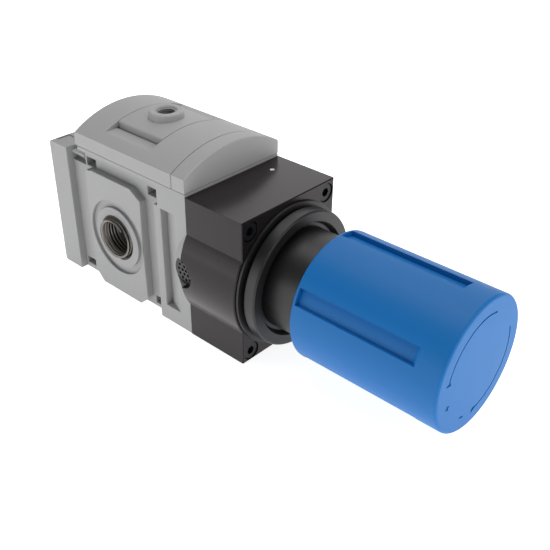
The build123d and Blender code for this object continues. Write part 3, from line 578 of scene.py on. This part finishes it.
def welded_copy(node, name):
    """A CAD node's shape as one closed mesh with as few faces as its flats need."""
    shape = bmesh.new()
    shape.from_mesh(nodes[node].data)
    bmesh.ops.remove_doubles(shape, verts=shape.verts, dist=weld_gap)
    bmesh.ops.dissolve_limit(
        shape, angle_limit=flat_turn, verts=shape.verts, edges=shape.edges, delimit={"NORMAL"}
    )
    return keep(shape, name)


def softened(node, name, edge):
    """A CAD node's shape with its edges rounded, standing for that node."""
    piece = welded_copy(node, name)
    round_edges(piece, edge)
    install(piece, body_of_node[node], slot_of_node[node], node)


def runs_on(edge, others):
    """Whether one of the other edges carries an edge's line on past one of its ends."""
    def heading(side, start):
        return (side.other_vert(start).co - start.co).normalized()

    return any(
        other is not edge and other in others
        and heading(edge, end).dot(heading(other, end)) < straight_on
        for end in edge.verts for other in end.link_edges
    )


def roomy_edges(shape, width):
    """Sharp outer edges whose neighbouring faces and edges leave room for a rounding."""
    sharp = {
        edge for edge in shape.edges
        if edge.is_manifold and edge.is_convex and edge.calc_face_angle(0) > sharp_turn
        and min(face.calc_area() for face in edge.link_faces)
        > face_room * width * edge.calc_length()
    }
    sharp -= {
        edge for edge in sharp
        if edge.calc_length() < stub_room * width and not runs_on(edge, sharp)
    }
    while True:
        cramped = {
            edge for edge in sharp
            if any(
                other not in sharp and other.calc_length() < neighbour_room * width
                for corner in edge.verts for other in corner.link_edges
            )
        }
        if not cramped:
            return sharp
        sharp -= cramped


def cast(node, name, edge):
    """A CAD node's shape with wide roundings on the edges that have room for them."""
    piece = welded_copy(node, name)
    shape = bmesh.new()
    shape.from_mesh(piece.data)
    waiting = roomy_edges(shape, edge)
    while waiting:
        first = min(waiting, key=lambda member: member.index)
        waiting.remove(first)
        chain = [first]
        for member in chain:
            touching = {other for corner in member.verts for other in corner.link_edges} & waiting
            chain.extend(touching)
            waiting -= touching
        bmesh.ops.bevel(
            shape, geom=[member for member in chain if member.is_valid], offset=edge,
            offset_type="OFFSET", segments=edge_segments, profile=0.5, affect="EDGES",
            material=-1, clamp_overlap=False,
        )
        waiting = {member for member in waiting if member.is_valid}
    for crease in shape.edges:
        crease.smooth = crease.calc_face_angle(0) < crease_turn
    bmesh.ops.recalc_face_normals(shape, faces=shape.faces)
    shape.to_mesh(piece.data)
    shape.free()
    shade_evenly(piece, even_weight)
    install(piece, body_of_node[node], slot_of_node[node], node)


def spin_outline(shape, outline, axis, centre, turn, steps, climb=0.0):
    """Spins a closed outline part of a turn about an axis; a climb along it makes a screw."""
    rim = [shape.verts.new(point) for point in outline]
    face = shape.faces.new(rim)
    bmesh.ops.spin(
        shape, geom=[*face.verts, *face.edges, face], cent=centre, axis=axis,
        dvec=axis * (climb / steps), angle=turn, steps=steps, use_merge=False,
    )


def thread(name, centre, outwards, major, depth, pitch, deep):
    """An internal thread: one long ridge that climbs round the wall of a bore."""
    across = (thread_start - thread_start.dot(outwards) * outwards).normalized()
    root = major + thread_sunk
    crest = major - depth
    half_root = root_share * pitch
    half_crest = crest_share * pitch
    outline = [
        centre + across * radius + outwards * shift
        for radius, shift in (
            (root, -half_root), (crest, -half_crest), (crest, half_crest), (root, half_root),
        )
    ]
    turns = (deep - pitch) / pitch
    steps = round(turns * thread_steps)
    shape = bmesh.new()
    spin_outline(shape, outline, outwards, centre, turns * 2 * pi, steps, -turns * pitch)
    bmesh.ops.recalc_face_normals(shape, faces=shape.faces)
    return keep(shape, name)


def ring_point(radius, turn, x):
    """A place round the setting axis, its angle counted from +Z towards -Y."""
    return Vector((x, -radius * sin(turn), setting_height + radius * cos(turn)))


# ---------------------------------------------------------------- operators
class REGULATOR_OT_casting(bpy.types.Operator):
    """Die-cast valve body with its port threads and bottom plug."""

    bl_idname = "regulator.casting"
    bl_label = "Casting"

    def execute(self, context):
        sizes = context.scene.regulator_sizes
        cast("valve_body", "casting", sizes.casting_edge)
        deep = mounts["port_a"]["dims"]["length_mm"] * mm
        for side, label in ((-1, "inlet"), (1, "outlet")):
            outwards = Vector((0, side, 0))
            # known fault: measured from the flare, the first turns stand out of the port's face
            reach = widest_side - sizes.port_lead_in
            mouth = Vector((port_centre.x, side * reach, port_centre.z))
            ridge = thread(
                f"{label}_port_thread", mouth, outwards, port_radius,
                sizes.port_thread_depth, sizes.port_pitch, deep,
            )
            install(ridge, "housing", "body_paint")
        softened("bottom_plug", "bottom_plug_turned", sizes.machined_edge)
        return {"FINISHED"}


class REGULATOR_OT_covers(bpy.types.Operator):
    """Domed front cover, its end band and the threaded gauge adapter plate."""

    bl_idname = "regulator.covers"
    bl_label = "Covers"

    def execute(self, context):
        sizes = context.scene.regulator_sizes
        cast("front_cover", "front_cover_shell", sizes.cover_edge)
        cast("cover_end_band", "cover_band", sizes.cover_edge)
        cast("gauge_adapter_plate", "gauge_adapter", sizes.cover_edge)
        top = Vector((gauge_centre.x, gauge_centre.y, adapter_top - sizes.gauge_lead_in))
        deep = mounts["gauge_port"]["dims"]["length_mm"] * mm - sizes.gauge_lead_in
        ridge = thread(
            "gauge_port_thread", top, Vector((0, 0, 1)), gauge_radius,
            sizes.gauge_thread_depth, sizes.gauge_pitch, deep,
        )
        install(ridge, "housing", "cover_plastic")
        return {"FINISHED"}


class REGULATOR_OT_bonnet(bpy.types.Operator):
    """Anodised bonnet with its screws, bleed orifice and exhaust inserts."""

    bl_idname = "regulator.bonnet"
    bl_label = "Bonnet"

    def execute(self, context):
        sizes = context.scene.regulator_sizes
        softened("bonnet", "bonnet_block", sizes.machined_edge)
        softened("bonnet_screws", "socket_screws", sizes.small_edge)
        softened("exhaust_inserts", "exhaust_discs", sizes.small_edge)
        dress("bleed_orifice")
        return {"FINISHED"}


class REGULATOR_OT_neck(bpy.types.Operator):
    """Neck sleeve, spacer disc, clamp ring and the knob's lock ring."""

    bl_idname = "regulator.neck"
    bl_label = "Neck"

    def execute(self, context):
        sizes = context.scene.regulator_sizes
        softened("neck_sleeve", "neck_tube", sizes.machined_edge)
        softened("spacer_disc", "thin_disc", sizes.machined_edge)
        softened("clamp_ring", "dished_ring", sizes.machined_edge)
        softened("lock_ring", "lock_teeth", sizes.small_edge)
        return {"FINISHED"}


class REGULATOR_OT_knob(bpy.types.Operator):
    """Blue setting knob with grip flutes and engraved direction marks, and its hub."""

    bl_idname = "regulator.knob"
    bl_label = "Knob"

    def execute(self, context):
        sizes = context.scene.regulator_sizes
        shell = self.shell(sizes)
        marks = self.marks(sizes)
        cut = shell.modifiers.new("engraved marks", "BOOLEAN")
        cut.object = marks
        cut.operation = "DIFFERENCE"
        cut.solver = "EXACT"
        cut.use_self = True
        apply_modifiers(shell)
        bpy.data.objects.remove(marks)
        round_edges(shell, knob_crease)
        install(shell, "knob_body", "knob_blue", "knob")
        softened("knob_hub", "knob_hub_moulded", sizes.small_edge)
        return {"FINISHED"}

    def shell(self, sizes):
        """The knob as a spun cup, its flutes pressed in along the outside."""
        back, front = knob_low.x, knob_high.x
        radius = (knob_high.y - knob_low.y) / 2
        bore = radius - sizes.knob_wall
        floor = front - sizes.knob_end_wall
        flute_start = back + sizes.flute_back
        flute_end = front - sizes.flute_front
        rounded = [
            (front - sizes.knob_edge * (1 - sin(turn)), radius - sizes.knob_edge * (1 - cos(turn)))
            for turn in map(radians, corner_turns)
        ]
        outline = [
            (floor, 0), (floor, bore), (back, bore), (back, radius - knob_chamfer),
            (back + knob_chamfer, radius), (flute_start, radius),
            (flute_end - sizes.flute_depth, radius), (flute_end, radius),
            (front - sizes.knob_edge, radius), *rounded,
            (front, radius - sizes.knob_edge), (front, 0),
        ]
        shape = bmesh.new()
        corners = [shape.verts.new(ring_point(out, sizes.flute_first, x)) for x, out in outline]
        edges = [shape.edges.new(pair) for pair in zip(corners, corners[1:])]
        bmesh.ops.spin(
            shape, geom=[*corners, *edges], cent=setting_centre, axis=along_axis,
            angle=2 * pi, steps=knob_steps, use_merge=True,
        )
        bmesh.ops.remove_doubles(shape, verts=shape.verts, dist=seam_gap)
        bmesh.ops.recalc_face_normals(shape, faces=shape.faces)
        self.press_flutes(shape, sizes, flute_start, flute_end, radius)
        return keep(shape, "knob_shell")

    def press_flutes(self, shape, sizes, start, end, radius):
        """Extrudes each flute's patch of the outside inwards, its front end ramped."""
        half = sizes.flute_width / 2
        pitch = 2 * pi / sizes.flute_count

        def in_flute(face):
            place = face.calc_center_median() - setting_centre
            out = (place.y ** 2 + place.z ** 2) ** 0.5
            turn = Vector((place.z, -place.y)).angle_signed(Vector((1, 0)), 0)
            offset = (turn - sizes.flute_first + pitch / 2) % pitch - pitch / 2
            return out > radius - flute_skin and start < place.x < end and abs(offset) < half

        patch = [face for face in shape.faces if in_flute(face)]
        grown = bmesh.ops.extrude_face_region(shape, geom=patch)["geom"]
        sunk = [point for point in grown if isinstance(point, bmesh.types.BMVert)]
        bmesh.ops.delete(shape, geom=patch, context="FACES")
        share = (radius - sizes.flute_depth) / radius
        floor = [point for point in sunk if point.co.x < end - flute_skin]
        bmesh.ops.scale(
            shape, vec=(1, share, share), verts=floor,
            space=Matrix.Translation(-setting_centre),
        )
        bmesh.ops.remove_doubles(shape, verts=shape.verts, dist=seam_gap)

    def marks(self, sizes):
        """The cutter for the two direction arrows and the plus and minus signs."""
        shape = bmesh.new()
        low, high = knob_high.x - sizes.mark_depth, knob_high.x + cutter_rise
        for tail, tip in arrows:
            self.arrow(shape, sizes, tail, tip, low, high)
        strokes = (
            (plus_turn, sign_arm, sizes.mark_width),
            (plus_turn, sizes.mark_width, sign_arm),
            (minus_turn, sign_arm, sizes.mark_width),
        )
        for turn, wide, tall in strokes:
            place = self.on_face(sizes, turn, low, high) @ Matrix.Rotation(radians(turn), 4, "X")
            bmesh.ops.create_cube(
                shape, size=1, matrix=place @ Matrix.Diagonal((high - low, wide, tall, 1))
            )
        bmesh.ops.recalc_face_normals(shape, faces=shape.faces)
        return keep(shape, "mark_cutter")

    def arrow(self, shape, sizes, tail, tip, low, high):
        """A curved shaft round the setting axis with a three-cornered head at its tip."""
        inner = sizes.mark_radius - sizes.mark_width / 2
        outer = sizes.mark_radius + sizes.mark_width / 2
        outline = [
            ring_point(radius, radians(tail), x)
            for x, radius in ((low, inner), (high, inner), (high, outer), (low, outer))
        ]
        turn = tip - tail
        steps = round(abs(turn) / arrow_step)
        spin_outline(shape, outline, along_axis, setting_centre, radians(turn), steps)
        ahead = radians(tip) if turn > 0 else radians(tip) + pi
        lie = Matrix.Rotation(ahead, 4, "X") @ Matrix.Rotation(pi / 2, 4, "Y")
        head = bmesh.ops.create_cone(
            shape, cap_ends=True, segments=3, radius1=arrow_head, radius2=arrow_head,
            depth=high - low, matrix=self.on_face(sizes, tip, low, high) @ lie,
        )
        bmesh.ops.remove_doubles(shape, verts=head["verts"], dist=weld_gap)

    def on_face(self, sizes, turn, low, high):
        """The place of a mark, halfway up the cutter."""
        return Matrix.Translation(ring_point(sizes.mark_radius, radians(turn), (low + high) / 2))


class REGULATOR_OT_setting_gear(bpy.types.Operator):
    """Setting spring, nut, spindle and pilot stage inside the bonnet and neck."""

    bl_idname = "regulator.setting_gear"
    bl_label = "Setting gear"

    def execute(self, context):
        squeeze("setting_spring", "setting_coil")
        for node in (
            "spindle_nut", "adjusting_spindle", "detent_ring", "thrust_washer", "knob_screw",
            "lower_spring_seat", "pilot_nut", "pilot_flapper", "pilot_nozzle", "pilot_housing",
        ):
            dress(node)
        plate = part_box("lower_spring_seat")[1].y
        flexing("pilot_diaphragm", plate + pilot_clamp, plate + pilot_lap)
        return {"FINISHED"}


class REGULATOR_OT_valve_gear(bpy.types.Operator):
    """Main valve, its diaphragm and the seals."""

    bl_idname = "regulator.valve_gear"
    bl_label = "Valve gear"

    def execute(self, context):
        squeeze("poppet_spring", "poppet_coil")
        for node in (
            "valve_seat", "valve_poppet", "poppet_seal", "valve_stem", "stem_guide",
            "stem_seal", "diaphragm_plate_lower", "diaphragm_plate_upper",
            "diaphragm_nut", "joint_seal", "plug_seal", "gauge_adapter_seal",
        ):
            dress(node)
        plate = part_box("diaphragm_plate_lower")[1].y
        flexing("main_diaphragm", plate + main_clamp, plate + main_lap)
        return {"FINISHED"}


def flexing(node, clamped, carried):
    """A diaphragm in flat sectors, each spun from its inner hole out to its rim."""
    low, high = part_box(node)
    radii = [(point.co - setting_centre).yz.length for point in nodes[node].data.vertices]
    hole, rim = min(radii), max(radii)
    ladder = [hole + (rim - hole) * step / ladder_steps for step in range(ladder_steps + 1)]
    sweep = 2 * pi / sectors
    for index in range(sectors):
        start = index * sweep
        shape = bmesh.new()
        outline = [ring_point(radius, start, low.x) for radius in ladder]
        outline += [ring_point(radius, start, high.x) for radius in reversed(ladder)]
        spin_outline(shape, outline, along_axis, setting_centre, sweep, sector_steps)
        bmesh.ops.recalc_face_normals(shape, faces=shape.faces)
        sector = keep(shape, f"{node}_sector_{index + 1}")
        sector.data.materials.append(finish_for(slot_of_node[node]))
        middle = start + sweep / 2
        ring_point(clamped, middle, low.x)
        ring_point(carried, middle, low.x)
        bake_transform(sector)
        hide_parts(node)


def squeeze(node, name):
    """A coil spring welded into one mesh of its own, fixed to its body in place of its CAD node.
    """
    coil = welded_copy(node, name)
    install(coil, body_of_node[node], slot_of_node[node], node)
    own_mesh(coil)


class REGULATOR_OT_stage(bpy.types.Operator):
    """White floor, soft lights and the camera."""

    bl_idname = "regulator.stage"
    bl_label = "Stage"

    def execute(self, context):
        settings = context.scene.regulator_stage
        self.camera(context, settings)
        self.floor(settings)
        self.sky(context, settings)
        self.softbox(
            "key_softbox", offset=(-0.35, -0.75, 0.08), size=(1.3, 0.3), energy=settings.key_power
        )
        self.softbox(
            "top_softbox", offset=(-0.12, 0.12, 0.90), size=(0.8, 0.8), energy=settings.top_power
        )
        self.softbox(
            "back_softbox", offset=(-0.35, 0.62, 0.38), size=(0.8, 0.5), energy=settings.back_power
        )
        self.softbox(
            "end_softbox", offset=(0.80, 0.15, 0.20), size=(0.6, 0.6), energy=settings.end_power
        )
        context.scene.view_settings.view_transform = "Standard"
        return {"FINISHED"}

    def camera(self, context, settings):
        """Camera in front of the knob's side, looking down and a little rolled."""
        view = bpy.data.cameras.new("studio_camera")
        view.lens = settings.lens
        view.sensor_width = sensor_width
        view.clip_start = nearest_view
        holder = bpy.data.objects.new("studio_camera", view)
        context.scene.collection.objects.link(holder)
        holder.location = camera_place
        holder.rotation_euler = camera_turn
        context.scene.camera = holder

    def floor(self, settings):
        """A wide white floor that glows a little, so that shadows on it stay faint."""
        shape = bmesh.new()
        bmesh.ops.create_grid(
            shape, x_segments=1, y_segments=1, size=floor_reach,
            matrix=Matrix.Translation((0, 0, cad_box[0].z - floor_gap)),
        )
        ground = keep(shape, "floor")
        white = Finish("white_floor").settle(
            Base_Color=(0.8, 0.8, 0.8, 1),
            Roughness=0.9,
            Emission_Color=(1, 1, 1, 1),
            Emission_Strength=settings.floor_glow,
        )
        ground.data.materials.append(white)

    def sky(self, context, settings):
        """Even white surroundings that are seen bright but light the object softly."""
        world = bpy.data.worlds.new("white_tent")
        world.use_nodes = True
        backdrop = world.node_tree.nodes["Background"]
        wiring = Wiring(world.node_tree)
        seen = Number(wiring, wiring.add("ShaderNodeLightPath").outputs["Is Camera Ray"])
        wiring.feed(backdrop.inputs["Color"], (1, 1, 1, 1))
        wiring.feed(backdrop.inputs["Strength"], wiring.maths("MAXIMUM", seen, settings.sky))
        context.scene.world = world

    def softbox(self, name, offset, size, energy):
        """A rectangular light that faces the middle of the object from an offset."""
        lamp = bpy.data.lights.new(name, "AREA")
        lamp.shape = "RECTANGLE"
        lamp.size, lamp.size_y = size
        lamp.energy = energy
        holder = bpy.data.objects.new(name, lamp)
        bpy.context.scene.collection.objects.link(holder)
        holder.location = (cad_box[0] + cad_box[1]) / 2 + Vector(offset)
        holder.rotation_euler = (-Vector(offset)).to_track_quat("-Z", "Y").to_euler()


operators = (
    REGULATOR_OT_stage,
    REGULATOR_OT_casting,
    REGULATOR_OT_covers,
    REGULATOR_OT_bonnet,
    REGULATOR_OT_neck,
    REGULATOR_OT_knob,
    REGULATOR_OT_setting_gear,
    REGULATOR_OT_valve_gear,
)


class REGULATOR_PT_panel(bpy.types.Panel):
    """Sizes, colours and the steps that build the regulator."""

    bl_idname = "REGULATOR_PT_panel"
    bl_label = "Pressure Regulator"
    bl_space_type = "VIEW_3D"
    bl_region_type = "UI"
    bl_category = "Regulator"

    def draw(self, context):
        column = self.layout.column(align=True)
        for step in operators:
            column.operator(step.bl_idname)
        scene = context.scene
        for group in (scene.regulator_sizes, scene.regulator_colours, scene.regulator_stage):
            box = self.layout.box()
            for field in group.__annotations__:
                box.prop(group, field)


classes = (RegulatorSizes, RegulatorColours, RegulatorStage, *operators, REGULATOR_PT_panel)


def register():
    for item in classes:
        bpy.utils.register_class(item)
    bpy.types.Scene.regulator_sizes = bpy.props.PointerProperty(type=RegulatorSizes)
    bpy.types.Scene.regulator_colours = bpy.props.PointerProperty(type=RegulatorColours)
    bpy.types.Scene.regulator_stage = bpy.props.PointerProperty(type=RegulatorStage)


def unregister():
    del bpy.types.Scene.regulator_stage
    del bpy.types.Scene.regulator_colours
    del bpy.types.Scene.regulator_sizes
    for item in reversed(classes):
        bpy.utils.unregister_class(item)


def main():
    """Builds every piece in order."""
    register()
    for step in operators:
        group, name = step.bl_idname.split(".")
        done = getattr(getattr(bpy.ops, group), name)()
        if done != {"FINISHED"}:
            raise RuntimeError(f"{step.bl_idname} did not finish")


if __name__ == "__main__":
    main()
